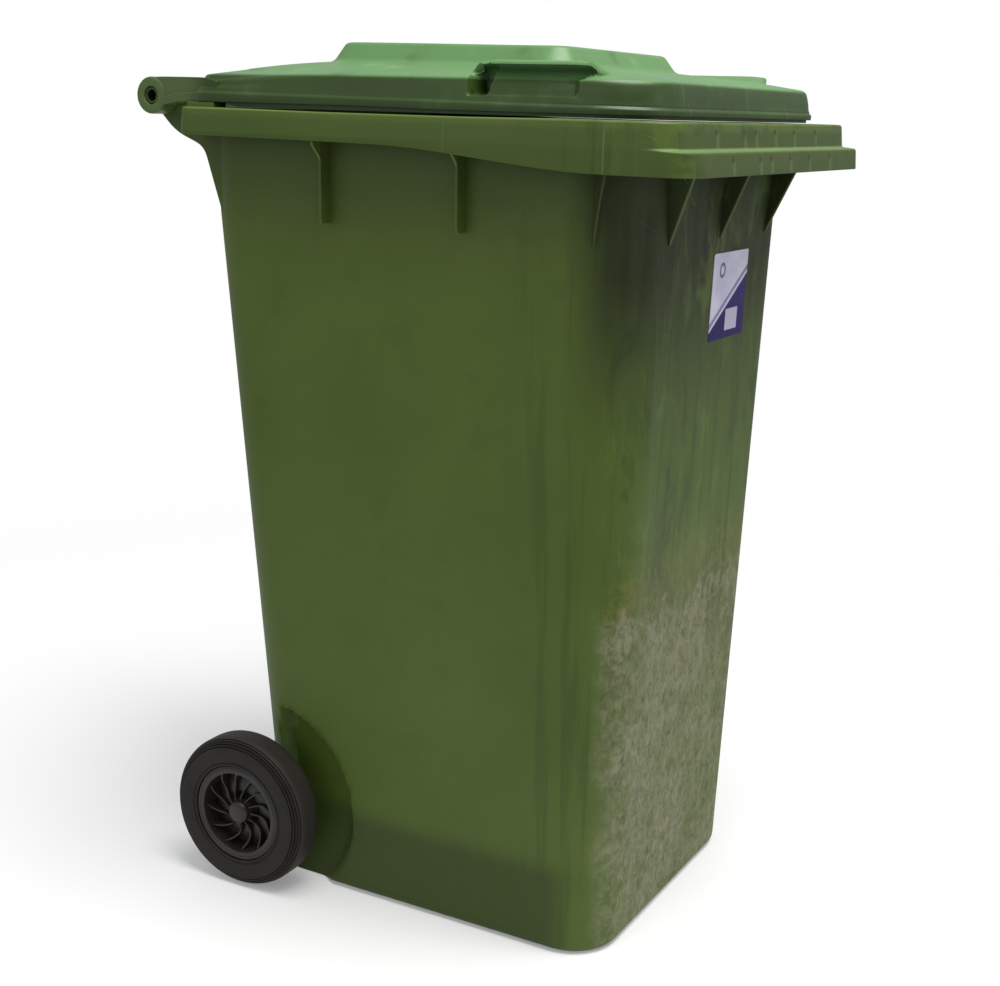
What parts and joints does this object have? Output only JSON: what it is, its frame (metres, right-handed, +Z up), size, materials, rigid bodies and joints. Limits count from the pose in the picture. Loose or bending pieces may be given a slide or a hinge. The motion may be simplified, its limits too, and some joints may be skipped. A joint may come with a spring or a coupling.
{
  "type": "wheelie bin",
  "caption": "Tall moulded refuse bin with a hinged lid, a stepped lifting comb, a rear handle bar and a pair of rubber-tyred wheels on a steel axle.",
  "frame": {"origin": "on the ground, under the middle of the bin's bounding box", "axes": "+Z up, -Y towards the front (the comb side), +Y towards the hinge and wheels, X across the bin along the axle"},
  "size_m": [0.58, 0.7289, 1.06],
  "materials": {
    "green_plastic": "semi-gloss moulded polyethylene, scuffed and dusty low down",
    "lid_plastic": "semi-gloss moulded polyethylene, lighter on the lid",
    "tyre_rubber": "solid rubber, slightly dusty",
    "wheel_plastic": "moulded black plastic, satin",
    "axle_steel": "zinc-plated bar",
    "spring_steel": "drawn wire",
    "label_film": "printed film in pale lilac and dark violet"
  },
  "bodies": {
    "tub_body": {"tub": "green_plastic", "hinge_pin_left": "green_plastic", "hinge_pin_right": "green_plastic", "axle": "axle_steel", "label": "label_film"},
    "lid_body": {"lid": "lid_plastic"},
    "wheel_left": {"tyre_left": "tyre_rubber", "wheel_rim_left": "wheel_plastic", "latch_spring_left": "spring_steel", "latch_plug_left": "wheel_plastic"},
    "wheel_right": {"tyre_right": "tyre_rubber", "wheel_rim_right": "wheel_plastic", "latch_spring_right": "spring_steel", "latch_plug_right": "wheel_plastic"},
    "lock_left": {"latch_pin_left": "axle_steel"},
    "lock_right": {"latch_pin_right": "axle_steel"}
  },
  "joints": [
    {"name": "lid_hinge", "type": "hinge", "parent": "tub_body", "child": "lid_body", "pos_m": [0, 0.3425, 0.992], "axis": [-1, 0, 0], "range_deg": [0, 267]},
    {"name": "wheel_left_spin", "type": "hinge", "parent": "tub_body", "child": "wheel_left", "pos_m": [-0.2575, 0.217, 0.1], "axis": [1, 0, 0], "continuous": true},
    {"name": "wheel_right_spin", "type": "hinge", "parent": "tub_body", "child": "wheel_right", "pos_m": [0.2575, 0.217, 0.1], "axis": [1, 0, 0], "continuous": true},
    {"name": "lock_left_slide", "type": "slide", "parent": "wheel_left", "child": "lock_left", "axis": [0, 0, 1], "range_m": [0, 0.0025], "stiffness_N_per_m": 600, "springref_m": -0.002, "deforming": ["latch_spring_left"]},
    {"name": "lock_right_slide", "type": "slide", "parent": "wheel_right", "child": "lock_right", "axis": [0, 0, 1], "range_m": [0, 0.0025], "stiffness_N_per_m": 600, "springref_m": -0.002, "deforming": ["latch_spring_right"]}
  ]
}
